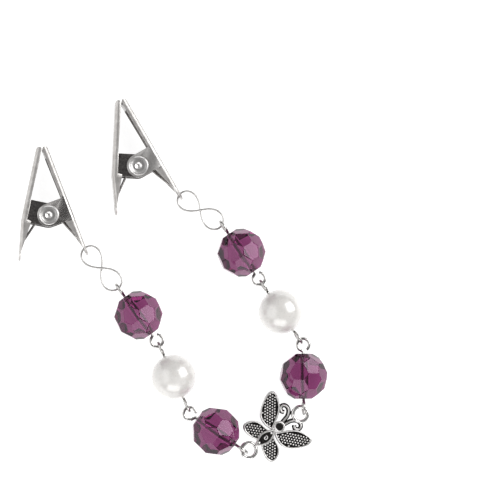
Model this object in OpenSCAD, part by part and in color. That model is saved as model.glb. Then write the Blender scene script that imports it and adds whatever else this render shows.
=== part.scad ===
// Sweater clip: two small spring clips joined by a short chain of faceted glass
// beads, pearls and a cast winged charm, lying flat as laid out on a table.
// X runs to the right, Y away from the charm, Z up from the table.

/* [Beads and pearls] */
// Distance between two opposite facets of a glass bead
bead_across = 9.6; // [8:0.1:11]
// Diameter of a pearl
pearl_d = 9.5; // [8:0.1:11]
// Diameter of the hole drilled through beads and pearls
bore_d = 1.1; // [0.9:0.05:1.4]

/* [Eye pins] */
// Diameter of the pin's wire
pin_wire_d = 0.65; // [0.5:0.05:0.75]
// Radius of an eye, to the middle of its wire
eye_r = 1.3; // [1.2:0.05:1.5]
// Straight wire between a bead and the eye next to it
neck = 0.6; // [0.5:0.05:0.8]
// Width of the cut where the turned end of the wire meets the neck
eye_cut = 0.15; // [0.1:0.01:0.25]

/* [Figure-eight links] */
// Length of a link, between the wire centres of its two ends
link_length = 11.2; // [10.5:0.1:13]
// Width of a link over the wire centres of one lobe
link_width = 4.1; // [3.6:0.1:4.6]
// Diameter of the link's wire
link_wire_d = 0.45; // [0.4:0.05:0.6]

/* [Clip levers] */
// Distance from the rivet's axis to the middle of the jaw's rounded nose
jaw_reach = 14; // [13:0.1:17]
// Distance from the rivet's axis to the end of the handle
handle_reach = 10.8; // [10:0.1:13]
// Width of a lever over its two side walls
clip_width = 5.6; // [5.2:0.1:6.6]
// Thickness of the sheet metal
sheet = 0.5; // [0.4:0.05:0.6]
// Outer radius of the bend between back and side walls
bend_r = 0.8; // [0.7:0.05:1]
// Depth of a side wall along the jaw
jaw_wall = 1.1; // [0.95:0.05:1.3]
// Depth of a side wall where the handle begins
handle_wall = 2.2; // [1.8:0.1:2.6]
// Thickness of the jaw's rounded nose
nose_d = 1.25; // [1.1:0.05:1.4]
// Length of the closed pad behind the nose
pad_length = 1.7; // [1:0.1:2.5]
// Width of an ear, along the lever
ear_width = 4.9; // [4.4:0.1:5.4]
// Distance from the rivet's axis to the back of the lever that holds the chain
chain_lever_back = 4.95; // [4.6:0.05:5.4]
// Distance from the rivet's axis to the back of the free lever
free_lever_back = 5.5; // [5.3:0.05:6]
// Angle by which the free lever's handle is bent towards the other handle
handle_bend = 8; // [0:0.5:9]
// Diameter of the hole near the end of each handle
handle_hole_d = 1.8; // [1.6:0.05:2]
// Distance from the handle's end to the middle of its hole
handle_hole_edge = 1.4; // [1.3:0.05:1.8]
// Length of flat handle beyond the tapered side walls
handle_flat = 2; // [1.8:0.1:3]

/* [Rivets and springs] */
// Diameter of the rivet's shank
shank_d = 1.7; // [1.5:0.05:1.8]
// Diameter of the rivet's domed head
head_d = 4.2; // [3.6:0.1:4.4]
// Height of the rivet's head
head_h = 0.45; // [0.35:0.05:0.55]
// Diameter of the dimple in the rivet's head
dimple_d = 1.6; // [1.2:0.1:2]
// Diameter of the rolled rim at the rivet's lower end
rim_d = 3.6; // [3.2:0.1:4]
// Diameter of the hole up the rivet's lower end
rivet_hole_d = 1; // [0.7:0.05:1.1]
// Diameter of the spring's wire
spring_wire_d = 0.5; // [0.4:0.05:0.55]
// Whole turns in the spring's coil
spring_turns = 3; // [2:1:4]

/* [Charm] */
// Distance between the centres of the charm's two rings
charm_span = 13.4; // [12.8:0.1:15]
// Outer diameter of a ring
ring_d = 4; // [3.8:0.1:4.4]
// Thickness of the metal round a ring
ring_bar = 0.85; // [0.7:0.05:0.9]
// Thickness of the charm's recessed floor
floor_h = 0.5; // [0.4:0.05:0.8]
// Height of the raised outlines above the back of the charm
rim_h = 1; // [0.9:0.05:1.3]
// Width of the raised outlines
rim_w = 0.32; // [0.25:0.01:0.4]
// Length of a front wing
front_wing = 8.2; // [7.4:0.1:8.8]
// Length of a rear wing
rear_wing = 5.6; // [5:0.1:6]
// Length of the pointed body
body_length = 5.6; // [5.2:0.1:6]
// Width of the pointed body
body_width = 2.5; // [2.2:0.1:2.8]
// Diameter of the round head
head_ring_d = 2.3; // [2:0.1:2.6]
// Distance between neighbouring dots on the wings
dot_pitch = 0.6; // [0.55:0.01:0.8]
// Turn of the winged figure from the line through the charm's rings
figure_turn = 3.7; // [0:0.1:5]
// Diameter of a dot
dot_d = 0.36; // [0.3:0.01:0.42]

/* [Fit] */
// Clearance between parts that turn or slide on each other
clearance = 0.1; // [0.06:0.01:0.12]

/* [Hidden] */
$fn = 64;

steel = "gainsboro";
silver = "darkgray";
amethyst = "mediumorchid";
pearl_white = "ivory";

// Bead proportions: a round bead with twelve small and twenty large facets
bead_r = bead_across / 2;
hexagon_step = 41.81;
belt_tilt = 10.812;
pentagon_tilt = 26.565;
cap_tilt = belt_tilt + hexagon_step;
bead_corner_r = 1.084 * bead_r;

// Each bead is rolled about its hole until an edge between two large facets lies on the table
bead_roll = 108;
axis_z = bead_r / cos(hexagon_step / 2);
pearl_z = pearl_d / 2;

// How far each kind of pin reaches from the middle of its bead to the centre of an eye
bead_pin_reach = bead_r + neck + eye_r;
pearl_pin_reach = pearl_d / 2 + neck + eye_r;
wire_r = pin_wire_d / 2;

// Play of a loop inside another
eye_play = eye_r - 2 * wire_r - clearance;
ring_mid_r = (ring_d - ring_bar) / 2;
ring_play = ring_mid_r - ring_bar / 2 - wire_r - clearance;
link_play = eye_r - wire_r - link_wire_d / 2 - clearance;
hole_play = (handle_hole_d - link_wire_d) / 2 - clearance;

// The layout of the chain, chosen by hand. Each row is one pin, from the charm outward:
// its heading in degrees, then the shares of the play taken up along it and to its left
HEADING = 0;
PULL = 1;
SIDE = 2;
charm_heading = 34.7;
left_arm = [[145.8, 0.2, 0.9], [114.7, 0.9, -0.3], [126.2, 0.95, 0]];
right_arm = [[90.4, 0.1, -0.92], [124, 0.95, 0], [124.4, 0.95, 0]];
// Heading of the figure-eight link, shares of its play at the bead and in the lever's
// hole, and the heading of the lever that holds it
left_end = [129.7, 0.6, -0.44, 111.3];
right_end = [143.8, 0.7, 0.4, 120.3];
END_LINK = 0;
END_PULL = 1;
END_HOLE = 2;
END_CLIP = 3;

function turn(a) = [cos(a), sin(a)];
function left_of(a) = [-sin(a), cos(a)];
function hook(arm, i, play) = play * (arm[i][PULL] * turn(arm[i][HEADING])
    + arm[i][SIDE] * left_of(arm[i][HEADING]));

// Centres of the bead next to the charm, of the pearl and of the bead beyond it
function inner_bead(start, arm) = start + hook(arm, 0, ring_play)
    + (eye_r + bead_pin_reach) * turn(arm[0][HEADING]);
function arm_pearl(start, arm) = inner_bead(start, arm)
    + bead_pin_reach * turn(arm[0][HEADING]) + hook(arm, 1, eye_play)
    + (eye_r + pearl_pin_reach) * turn(arm[1][HEADING]);
function outer_bead(start, arm) = arm_pearl(start, arm)
    + (pearl_pin_reach + eye_r) * turn(arm[1][HEADING]) + hook(arm, 2, eye_play)
    + bead_pin_reach * turn(arm[2][HEADING]);
function last_eye(start, arm) = outer_bead(start, arm) + bead_pin_reach * turn(arm[2][HEADING]);

// Middle of the figure-eight link, and the middle of the lever's hole
function link_start(start, arm, end) = last_eye(start, arm)
    + end[END_PULL] * link_play * turn(end[END_LINK]);
function link_middle(start, arm, end) = link_start(start, arm, end)
    + link_flat / 2 * turn(end[END_LINK]);
function hole_middle(start, arm, end) = link_start(start, arm, end)
    + link_flat * turn(end[END_LINK]) + end[END_HOLE] * hole_play * turn(end[END_CLIP]);

// Height of the clips, of the charm's mid plane and of the link's two ends
side_gap = clearance / 2;
clip_z = clip_width / 2 + side_gap + head_h;
charm_drop = 0.45;
charm_z = axis_z - charm_drop;
link_drop = 0.5;
link_bead_z = axis_z - link_drop;
link_clip_z = clip_z;
link_slope = asin((link_bead_z - link_clip_z) / link_length);
link_flat = link_length * cos(link_slope);
link_mid_z = (link_bead_z + link_clip_z) / 2;

// The closed clip: both noses stand on one circle round the rivet, a small gap apart
chain_nose_x = chain_lever_back - nose_d / 2;
free_nose_x = free_lever_back - nose_d / 2;
nose_step = 2 * asin((nose_d + clearance) / (2 * jaw_reach));
clip_spread = asin(chain_nose_x / jaw_reach) + asin(free_nose_x / jaw_reach) - nose_step;
chain_nose_y = sqrt(jaw_reach * jaw_reach - chain_nose_x * chain_nose_x);
free_nose_y = sqrt(jaw_reach * jaw_reach - free_nose_x * free_nose_x);
handle_hole_y = -(handle_reach - handle_hole_edge);
ear_r = ear_width / 2;
handle_set = clearance / 2;
handle_hole_x = chain_lever_back - (sheet + handle_set) / 2;

function spin(p, a) = [p[0] * cos(a) - p[1] * sin(a), p[0] * sin(a) + p[1] * cos(a)];
function pivot_at(hole, heading) = hole - spin([handle_hole_x, handle_hole_y], heading - 90);

// Wing roots on the charm, along its axis and beside it, and the wings' angles
front_root_u = -0.11 * body_length;
front_root_v = 0.16 * body_width;
front_angle = 51;
rear_root_u = -0.21 * body_length;
rear_root_v = 0.28 * body_width;
rear_angle = 132;

// The tip of the tail lies in the bar of its ring, and the figure is turned about it
tail_tip = [-charm_span / 2 + ring_mid_r, 0];
function on_figure(p) = tail_tip + spin(p + [body_length, 0], figure_turn);

// The layout before it is centred: the charm's middle at the origin
ring_left = -charm_span / 2 * turn(charm_heading);
ring_right = charm_span / 2 * turn(charm_heading);
pivot_left = pivot_at(hole_middle(ring_left, left_arm, left_end), left_end[END_CLIP]);
pivot_right = pivot_at(hole_middle(ring_right, right_arm, right_end), right_end[END_CLIP]);

// Shift that puts the middle of the laid-out piece at the origin
handle_tip = [-free_lever_back, -ear_r] + spin([handle_set, ear_r - handle_reach], handle_bend);
left_most = (pivot_left + spin(handle_tip, left_end[END_CLIP] - 90 - clip_spread))[0];
right_most = inner_bead(ring_right, right_arm)[0] + bead_corner_r;
nearest = spin(on_figure([rear_root_u, -rear_root_v] + rear_wing * turn(-rear_angle)), charm_heading)[1];
farthest = pivot_right[1] + nose_d / 2
    + max(spin([chain_nose_x, chain_nose_y], right_end[END_CLIP] - 90)[1],
        spin([-free_nose_x, free_nose_y], right_end[END_CLIP] - 90 - clip_spread)[1]);
shift = -[(left_most + right_most) / 2, (nearest + farthest) / 2];

// Number of flats round a bent wire
wire_sides = 6;

// A tube along a list of points: rings of corners, then the faces between them
function unit(v) = v / norm(v);
function across(t) = unit(cross(t, [0, 0, 1]));
function ring_points(p, t, r, sides) = [for (k = [0:sides - 1])
    p + r * (cos(360 * k / sides) * across(t) + sin(360 * k / sides) * unit(cross(across(t), t)))];
function flat_list(rows) = [for (row = rows) each row];
function tube_faces(rings, sides, closed) = [for (i = [0:rings - (closed ? 1 : 2)])
    for (k = [0:sides - 1]) let (a = i * sides, b = ((i + 1) % rings) * sides, n = (k + 1) % sides)
    each [[a + k, a + n, b + n], [a + k, b + n, b + k]]];
function tangent(path, i, closed) = let (n = len(path))
    unit(path[closed ? (i + 1) % n : min(i + 1, n - 1)] - path[closed ? (i + n - 1) % n : max(i - 1, 0)]);

module tube(path, d, sides, closed) {
    n = len(path);
    points = flat_list([for (i = [0:n - 1]) ring_points(path[i], tangent(path, i, closed), d / 2, sides)]);
    caps = closed ? [] : [[for (k = [sides - 1:-1:0]) k], [for (k = [0:sides - 1]) (n - 1) * sides + k]];
    polyhedron(points = points, faces = concat(tube_faces(n, sides, closed), caps), convexity = 6);
}

// Puts a child on the table at a place in the layout, at a height and turned to a heading
module place(at, z, heading) {
    translate([at[0] + shift[0], at[1] + shift[1], z]) rotate([0, 0, heading]) children();
}

// Beads

// Directions of the facets of one bead, as tilt from its hole and turn about it
function facet_rows() = concat([[90, 0]],
    [for (k = [0:4]) [pentagon_tilt, 72 * k]],
    [for (k = [0:4]) [belt_tilt, 72 * k + 36]],
    [for (k = [0:4]) [cap_tilt, 72 * k + 36]]);

module glass_bead(roll) {
    color(amethyst) difference() {
        intersection_for(row = facet_rows())
            rotate([roll + row[1], 0, 0]) rotate([0, 0, -row[0]])
                cube([4 * bead_r, bead_across, 4 * bead_r], center = true);
        rotate([0, 90, 0]) cylinder(d = bore_d, h = 4 * bead_r, center = true);
    }
}

module pearl() {
    color(pearl_white) rotate([0, 90, 0]) rotate_extrude() intersection() {
        circle(d = pearl_d);
        translate([bore_d / 2, -pearl_d / 2]) square([pearl_d, pearl_d]);
    }
}

// Eye pins

// Angle round an eye at which its wire ends, counted from the far side of the eye
eye_cut_angle = 210;

// One turned eye: a ring of wire with a narrow cut beside the neck
module eye(flat) {
    rotate([flat ? 0 : 90, 0, 0]) difference() {
        rotate_extrude() translate([eye_r, 0]) circle(d = pin_wire_d);
        rotate([0, 0, eye_cut_angle]) translate([eye_r, 0, 0])
            cube([2 * pin_wire_d, eye_cut, 2 * pin_wire_d], center = true);
    }
}

// A pin along X with an eye at each end; inner_flat and outer_flat lay an eye level
module eye_pin(reach, inner_flat, outer_flat) {
    straight = 2 * (reach - eye_r);
    color(silver) union() {
        rotate([0, 90, 0]) cylinder(d = pin_wire_d - clearance / 2, h = straight, center = true);
        translate([-reach, 0, 0]) mirror([1, 0, 0]) eye(inner_flat);
        translate([reach, 0, 0]) eye(outer_flat);
    }
}

// Figure-eight links

// The wire's path: a figure eight whose strands pass over each other in the middle
link_steps = 48;
lobe_ratio = 1 / sqrt(8);
function link_path() = [for (i = [0:link_steps - 1]) let (t = 360 * i / link_steps, q = 1 + sin(t) * sin(t))
    [link_length / 2 * cos(t) / q,
     link_width / 2 / lobe_ratio * sin(t) * cos(t) / q,
     (link_wire_d / 2 + side_gap) * sin(t)]];

module figure_eight() {
    color(silver) rotate([0, link_slope, 0]) tube(link_path(), link_wire_d, wire_sides, true);
}

// Clip levers, drawn with the rivet's axis at the origin, the back towards -X and the
// jaw towards +Y

inner_ear_z = clip_width / 2 - sheet - side_gap;

// Cross-section of the channel, over its outside or its inside
module channel_section(back, inset) {
    half = clip_width / 2 - inset;
    r = bend_r - inset;
    depth = 2 * back;
    translate([-back + inset + r, -half]) square([depth, 2 * half]);
    translate([-back + inset, -half + r]) square([depth, 2 * (half - r)]);
    for (side = [-1, 1]) translate([-back + inset + r, side * (half - r)]) circle(r = r);
}

// The channel from y0 to y1
module channel(back, inset, y0, y1) {
    translate([0, y1, 0]) rotate([90, 0, 0]) linear_extrude(y1 - y0) channel_section(back, inset);
}

// Side walls seen along the rivet: jaw and handle
module jaw_outline(back, nose_y) {
    translate([-back, 0]) {
        polygon([[0, -ear_r], [jaw_wall, -ear_r], [jaw_wall, ear_r], [nose_d, nose_y], [0, nose_y]]);
        translate([nose_d / 2, nose_y]) circle(d = nose_d);
    }
}

module handle_outline(back) {
    translate([-back, 0])
        polygon([[0, -handle_reach], [sheet, -handle_reach], [sheet, -handle_reach + handle_flat],
            [handle_wall, clearance - ear_r], [jaw_wall, sheet - ear_r], [0, -ear_r]]);
}

// An ear seen along the rivet
module ear_outline(back, start) {
    translate([-back + start, -ear_r]) square([back - start, ear_width]);
    circle(r = ear_r);
}

// The handle's end is half round seen from the back
module back_outline() {
    end_r = clip_width / 2;
    translate([-handle_reach + end_r, 0]) circle(r = end_r);
    translate([-handle_reach + end_r, -end_r]) square([handle_reach, clip_width]);
}

module handle_hole(back) {
    translate([-back, handle_hole_y, 0]) rotate([0, 90, 0])
        cylinder(d = handle_hole_d, h = 4 * sheet, center = true);
}

module jaw_shell(back, nose_y, with_ears) {
    difference() {
        intersection() {
            linear_extrude(clip_width, center = true) {
                jaw_outline(back, nose_y);
                if (with_ears) ear_outline(back, 0);
            }
            channel(back, 0, -ear_r, nose_y + nose_d);
        }
        channel(back, sheet, -2 * ear_r, nose_y - pad_length);
    }
}

// The handle, set in all round and bent inward about the outer edge where it leaves the jaw
module handle_shell(back, bend) {
    translate([-back, -ear_r, 0]) rotate([0, 0, bend]) translate([back, ear_r, 0]) difference() {
        intersection() {
            linear_extrude(clip_width, center = true) handle_outline(back);
            channel(back, handle_set, -2 * handle_reach, 0);
            rotate([90, 0, 90]) linear_extrude(4 * back, center = true) back_outline();
        }
        channel(back, handle_set + sheet, -3 * handle_reach, handle_reach);
        handle_hole(back);
    }
}

// The lever that holds the chain, whose ears lie outside the other lever's
module chain_lever() {
    color(steel) difference() {
        union() {
            jaw_shell(chain_lever_back, chain_nose_y, true);
            handle_shell(chain_lever_back, 0);
        }
        cylinder(d = shank_d + 2 * side_gap, h = 2 * clip_width, center = true);
    }
}

// The free lever, whose ears are stepped inward by the thickness of the other's
module free_lever() {
    step_start = 0.75 * sheet;
    color(steel) difference() {
        union() {
            jaw_shell(free_lever_back, free_nose_y, false);
            handle_shell(free_lever_back, handle_bend);
            for (side = [0, 1]) mirror([0, 0, side]) {
                translate([0, 0, inner_ear_z - sheet])
                    linear_extrude(sheet) ear_outline(free_lever_back, step_start);
                translate([-free_lever_back + step_start, clearance - ear_r, inner_ear_z - sheet + clearance])
                    cube([jaw_wall - sheet / 2, ear_width - 2 * clearance, sheet]);
            }
        }
        cylinder(d = shank_d + 2 * clearance, h = 2 * clip_width, center = true);
    }
}

// Rivet: a tube with a dimpled, domed head above and a rolled rim below

module rivet() {
    seat = clip_width / 2 + side_gap;
    edge_r = head_h / 2;
    rim_r = rim_d / 2;
    color(steel) difference() {
        union() {
            cylinder(d = shank_d, h = 2 * seat + edge_r, center = true);
            translate([0, 0, seat]) cylinder(d = head_d - head_h, h = head_h);
            translate([0, 0, seat + edge_r])
                rotate_extrude() translate([head_d / 2 - edge_r, 0]) circle(r = edge_r);
            translate([0, 0, -seat - edge_r])
                rotate_extrude() translate([rim_r - edge_r, 0]) circle(r = edge_r);
            translate([0, 0, -seat - edge_r])
                cylinder(r = rim_r - edge_r, h = edge_r);
        }
        translate([0, 0, seat + head_h + dimple_d / 2 - edge_r]) sphere(d = dimple_d);
        translate([0, 0, -2 * seat]) cylinder(d = rivet_hole_d, h = 2 * seat);
    }
}

// Spring: a coil round the rivet between the inner ears, with one arm to each handle

spring_r = shank_d / 2 + clearance + spring_wire_d;
spring_half = inner_ear_z - sheet - clearance - spring_wire_d / 2;
arm_inset = handle_set + sheet + spring_wire_d / 2 + clearance;
// Share of the handle's reach at which an arm meets the handle
arm_share = 0.6;
arm_end_y = -arm_share * handle_reach;
chain_arm = [chain_lever_back - arm_inset, arm_end_y];
free_joint = [-free_lever_back, -ear_r];
free_arm = spin(free_joint + spin([arm_inset, arm_end_y + ear_r], handle_bend), -clip_spread);

function bearing(p) = atan2(p[1], p[0]);
function tangent_turn(p) = acos(spring_r / norm(p));
coil_from = bearing(chain_arm) + tangent_turn(chain_arm);
coil_to = bearing(free_arm) + 360 - tangent_turn(free_arm) + 360 * (spring_turns - 1);
coil_steps = 16 * spring_turns;

function coil_point(s) = let (a = coil_from + s * (coil_to - coil_from))
    [spring_r * cos(a), spring_r * sin(a), spring_half * (2 * s - 1)];

function spring_path() = concat(
    [[chain_arm[0], chain_arm[1], -spring_half]],
    [for (i = [0:coil_steps]) coil_point(i / coil_steps)],
    [[free_arm[0], free_arm[1], spring_half]]);

module spring() {
    color(steel) tube(spring_path(), spring_wire_d, wire_sides, false);
}

// Charm, drawn with its axis along +X, its back at z = 0 and its middle at the origin

// Half width of a leaf at a share s of its length, widest at the share peak; its root is
// pointed and its tip the rounder the larger blunt is
function leaf_half(s, peak, blunt) = pow(abs(sin(180 * pow(s, ln(0.5) / ln(peak)))), 1 - blunt * s);
leaf_steps = 14;
function leaf_share(i) = (1 - cos(180 * i / leaf_steps)) / 2;

// A leaf along +X: bulge_left and bulge_right are its two half widths
function leaf(length, bulge_left, bulge_right, peak_left, peak_right, blunt) = concat(
    [for (i = [0:leaf_steps]) let (s = leaf_share(i))
        [length * s, -bulge_right * leaf_half(s, peak_right, blunt)]],
    [for (i = [leaf_steps - 1:-1:1]) let (s = leaf_share(i))
        [length * s, bulge_left * leaf_half(s, peak_left, blunt)]]);

// Bulges of the wings as shares of their length: towards the head, towards the tail
FORE = 0;
AFT = 1;
front_bulge = [0.19, 0.32];
rear_bulge = [0.27, 0.42];
fore_peak = 0.58;
aft_peak = 0.42;
wing_blunt = 0.5;

function wing_outline(length, bulge, inset) = leaf(length - 3 * inset,
    bulge[FORE] * length - inset, bulge[AFT] * length - inset, fore_peak, aft_peak, wing_blunt);

// Dots in staggered rows inside a wing's outline, clear of its rim and of both its points
dot_sides = 8;
dot_margin = rim_w + 0.6 * dot_d;
bare_tip = 0.04;
function inside_wing(p, length, bulge) = let (s = p[0] / length)
    s > bare_tip && s < 1 - bare_tip
    && p[1] < bulge[FORE] * length * leaf_half(s, fore_peak, wing_blunt) - dot_margin
    && -p[1] < bulge[AFT] * length * leaf_half(s, aft_peak, wing_blunt) - dot_margin;
function wing_dots(length, bulge) = let (rows = ceil(length / dot_pitch / 2))
    [for (row = [-rows:rows]) for (col = [0:2 * rows])
        let (p = [(col + (row % 2 == 0 ? 0 : 0.5)) * dot_pitch, row * dot_pitch * sqrt(3) / 2])
        if (inside_wing(p, length, bulge)) p];

module wing(length, bulge) {
    dot_top = (floor_h + rim_h) / 2 + dot_d / 4;
    linear_extrude(floor_h) polygon(wing_outline(length, bulge, 0));
    linear_extrude(rim_h) difference() {
        polygon(wing_outline(length, bulge, 0));
        translate([1.5 * rim_w, 0]) polygon(wing_outline(length, bulge, rim_w));
    }
    for (p = wing_dots(length, bulge)) translate([p[0], p[1], floor_h / 2])
        cylinder(d = dot_d, h = dot_top - floor_h / 2, $fn = dot_sides);
}

// The head overlaps the tip of the body by half a rim
head_x = (head_ring_d - rim_w) / 2;

// One antenna: a raised wire that leaves the head and curls outward, on a thin web that
// also joins it to the front wing. Its points are shares of half the span
antenna_curl = [[0.3, 0.04], [0.45, 0.07], [0.57, 0.1], [0.69, 0.19], [0.74, 0.31], [0.71, 0.42],
    [0.62, 0.46], [0.54, 0.42], [0.51, 0.34], [0.56, 0.26]];
antenna_points = concat([[head_x, 0]], charm_span / 2 * antenna_curl);
antenna_w = 0.34;
curl_back = antenna_points[8];
wing_middle = [front_root_u, front_root_v] + front_wing / 2 * turn(front_angle);
bridge_from = 4;
bridge_angle = 145;

module strip(points, w) {
    for (i = [0:len(points) - 2]) {
        step = points[i + 1] - points[i];
        translate(points[i]) rotate(atan2(step[1], step[0])) translate([0, -w / 2]) square([norm(step), w]);
        translate(points[i]) circle(d = w);
    }
    translate(points[len(points) - 1]) circle(d = w);
}

module antenna() {
    linear_extrude(rim_h) strip(antenna_points, antenna_w);
    linear_extrude(floor_h) strip(antenna_points, 2 * antenna_w);
    linear_extrude(floor_h) strip([curl_back, wing_middle], 4 * antenna_w);
}

// Web from an antenna to the ring in front of it
module bridge(side) {
    antenna_side = antenna_points[bridge_from];
    ring_side = [charm_span / 2, 0] + ring_mid_r * turn(side * bridge_angle);
    linear_extrude(floor_h)
        strip([on_figure([antenna_side[0], side * antenna_side[1]]), ring_side], 2 * antenna_w);
}

module charm_ring() {
    translate([0, 0, rim_h / 2]) rotate_extrude() translate([ring_mid_r, 0]) circle(d = ring_bar);
}

module figure() {
    body_top = 1.2 * rim_h;
    body_inset = 3 * rim_w;
    inner_half = body_width / 2 - rim_w;
    difference() {
        union() {
            for (side = [0, 1]) mirror([0, side, 0]) {
                translate([front_root_u, front_root_v, 0]) rotate([0, 0, front_angle])
                    mirror([0, 1, 0]) wing(front_wing, front_bulge);
                translate([rear_root_u, rear_root_v, 0]) rotate([0, 0, rear_angle])
                    mirror([0, 1, 0]) wing(rear_wing, rear_bulge);
                antenna();
            }
            translate([-body_length, 0, 0]) linear_extrude(body_top)
                polygon(leaf(body_length, body_width / 2, body_width / 2, 0.5, 0.5, 0));
            translate([head_x, 0, 0]) cylinder(d = head_ring_d, h = body_top);
        }
        translate([-body_length + body_inset / 2, 0, floor_h]) linear_extrude(body_top)
            polygon(leaf(body_length - body_inset, inner_half, inner_half, 0.5, 0.5, 0));
        translate([head_x, 0, floor_h])
            cylinder(d = head_ring_d - 2 * rim_w, h = body_top);
    }
}

module charm_shape() {
    translate(tail_tip) rotate(figure_turn) translate([body_length, 0, 0]) figure();
    for (end = [-1, 1]) {
        translate([end * charm_span / 2, 0, 0]) charm_ring();
        bridge(end);
    }
    // Web between the tail and its ring
    linear_extrude(floor_h)
        strip([tail_tip, on_figure([-0.8 * body_length, 0])], 2 * antenna_w);
}

module charm() {
    color(silver) charm_shape();
}

// Placed sub-parts

module clip_at(pivot, heading) {
    place(pivot, clip_z, heading - 90) children();
}

module placed_free_lever(pivot, heading) {
    clip_at(pivot, heading - clip_spread) free_lever();
}

module placed_chain_lever(pivot, heading) {
    clip_at(pivot, heading) mirror([1, 0, 0]) chain_lever();
}

module placed_link(start, arm, end) {
    place(link_middle(start, arm, end), link_mid_z, end[END_LINK]) figure_eight();
}

placed_chain_lever(pivot_left, left_end[END_CLIP]);  // chain_lever_a
placed_free_lever(pivot_left, left_end[END_CLIP]);  // free_lever_a
clip_at(pivot_left, left_end[END_CLIP]) rivet();  // rivet_a
clip_at(pivot_left, left_end[END_CLIP]) spring();  // spring_a
placed_link(ring_left, left_arm, left_end);  // link_a
place(outer_bead(ring_left, left_arm), axis_z, left_arm[2][HEADING]) glass_bead(bead_roll);  // bead_a
place(arm_pearl(ring_left, left_arm), pearl_z, left_arm[1][HEADING]) pearl();  // pearl_a
place(inner_bead(ring_left, left_arm), axis_z, left_arm[0][HEADING]) glass_bead(bead_roll);  // bead_b
place([0, 0], charm_z - rim_h / 2, charm_heading) charm();
place(inner_bead(ring_right, right_arm), axis_z, right_arm[0][HEADING]) glass_bead(bead_roll);  // bead_c
place(arm_pearl(ring_right, right_arm), pearl_z, right_arm[1][HEADING]) pearl();  // pearl_b
place(outer_bead(ring_right, right_arm), axis_z, right_arm[2][HEADING]) glass_bead(bead_roll);  // bead_d
place(outer_bead(ring_left, left_arm), axis_z, left_arm[2][HEADING])  // pin_bead_a
        eye_pin(bead_pin_reach, true, false);
place(arm_pearl(ring_left, left_arm), pearl_z, left_arm[1][HEADING])  // pin_pearl_a
        eye_pin(pearl_pin_reach, false, false);
place(inner_bead(ring_left, left_arm), axis_z, left_arm[0][HEADING])  // pin_bead_b
        eye_pin(bead_pin_reach, false, true);
place(inner_bead(ring_right, right_arm), axis_z, right_arm[0][HEADING])  // pin_bead_c
        eye_pin(bead_pin_reach, false, true);
place(arm_pearl(ring_right, right_arm), pearl_z, right_arm[1][HEADING])  // pin_pearl_b
        eye_pin(pearl_pin_reach, false, false);
place(outer_bead(ring_right, right_arm), axis_z, right_arm[2][HEADING])  // pin_bead_d
        eye_pin(bead_pin_reach, true, false);
placed_link(ring_right, right_arm, right_end);  // link_b
placed_chain_lever(pivot_right, right_end[END_CLIP]);  // chain_lever_b
placed_free_lever(pivot_right, right_end[END_CLIP]);  // free_lever_b
clip_at(pivot_right, right_end[END_CLIP]) rivet();  // rivet_b
clip_at(pivot_right, right_end[END_CLIP]) spring();  // spring_b
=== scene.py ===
import math

import bmesh
import bpy
from mathutils import Matrix, Vector


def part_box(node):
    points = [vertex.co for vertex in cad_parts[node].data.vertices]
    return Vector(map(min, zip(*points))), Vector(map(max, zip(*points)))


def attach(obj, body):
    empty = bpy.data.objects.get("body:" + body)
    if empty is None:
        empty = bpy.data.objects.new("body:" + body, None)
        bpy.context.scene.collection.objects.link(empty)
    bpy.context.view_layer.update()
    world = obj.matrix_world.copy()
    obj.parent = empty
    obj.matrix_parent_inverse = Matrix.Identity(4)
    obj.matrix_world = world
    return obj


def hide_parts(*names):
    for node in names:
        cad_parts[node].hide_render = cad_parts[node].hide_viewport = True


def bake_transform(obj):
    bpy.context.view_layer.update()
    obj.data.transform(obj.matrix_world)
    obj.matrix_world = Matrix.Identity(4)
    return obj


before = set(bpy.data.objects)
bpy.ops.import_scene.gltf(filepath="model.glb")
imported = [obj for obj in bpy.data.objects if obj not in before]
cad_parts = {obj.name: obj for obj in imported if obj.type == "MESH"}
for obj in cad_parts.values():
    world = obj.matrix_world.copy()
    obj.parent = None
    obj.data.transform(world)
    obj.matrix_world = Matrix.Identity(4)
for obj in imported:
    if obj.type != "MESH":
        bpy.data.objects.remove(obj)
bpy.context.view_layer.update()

# Lengths below are in millimetres and are turned into metres when a mesh is made.
MM = 0.001

# The sizes that the dressed pieces share with the solids
BEAD_ACROSS = 9.6
BEAD_R = BEAD_ACROSS / 2
PEARL_D = 9.5
BORE_D = 1.1
PIN_WIRE_D = 0.65
EYE_R = 1.3
NECK = 0.6
LINK_LENGTH = 11.2
LINK_WIDTH = 4.1
LINK_WIRE_D = 0.45
JAW_REACH = 14
HANDLE_REACH = 10.8
CLIP_WIDTH = 5.6
SHEET = 0.5
NOSE_D = 1.25
EAR_R = 2.45
EAR_REACH = 2.7
CHAIN_LEVER_BACK = 4.95
FREE_LEVER_BACK = 5.5
HANDLE_BEND = 8
HANDLE_HOLE_D = 1.8
HANDLE_HOLE_EDGE = 1.4
ARM_SHARE = 0.6
SHANK_D = 1.7
HEAD_D = 4.2
HEAD_H = 0.45
RIM_D = 3.6
RIVET_HOLE_D = 1.0
SPRING_WIRE_D = 0.5
SPRING_TURNS = 3
CHARM_SPAN = 13.4
RING_D = 4.0
RING_BAR = 0.85
FLOOR_H = 0.5
RIM_H = 1.0
RIM_W = 0.32
FRONT_WING = 8.2
REAR_WING = 5.6
BODY_LENGTH = 5.6
BODY_WIDTH = 2.5
HEAD_RING_D = 2.3
DOT_PITCH = 0.6
DOT_D = 0.36
FIGURE_TURN = 3.7
CLEARANCE = 0.1

# Sizes of the dressed pieces alone
FACET_ROUND = 0.07
SHEET_ROUND = 0.1
EAR_MARGIN = 0.06
EYE_BEND = 0.42
EYE_BEGIN = 146
EYE_END = -142
LIP_WIDTH = 0.08
LIP_DEPTH = 0.14
DOT_ROOT = 0.1
FLOOR_HALF = 900
FLOOR_DROP = 0.02

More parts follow.
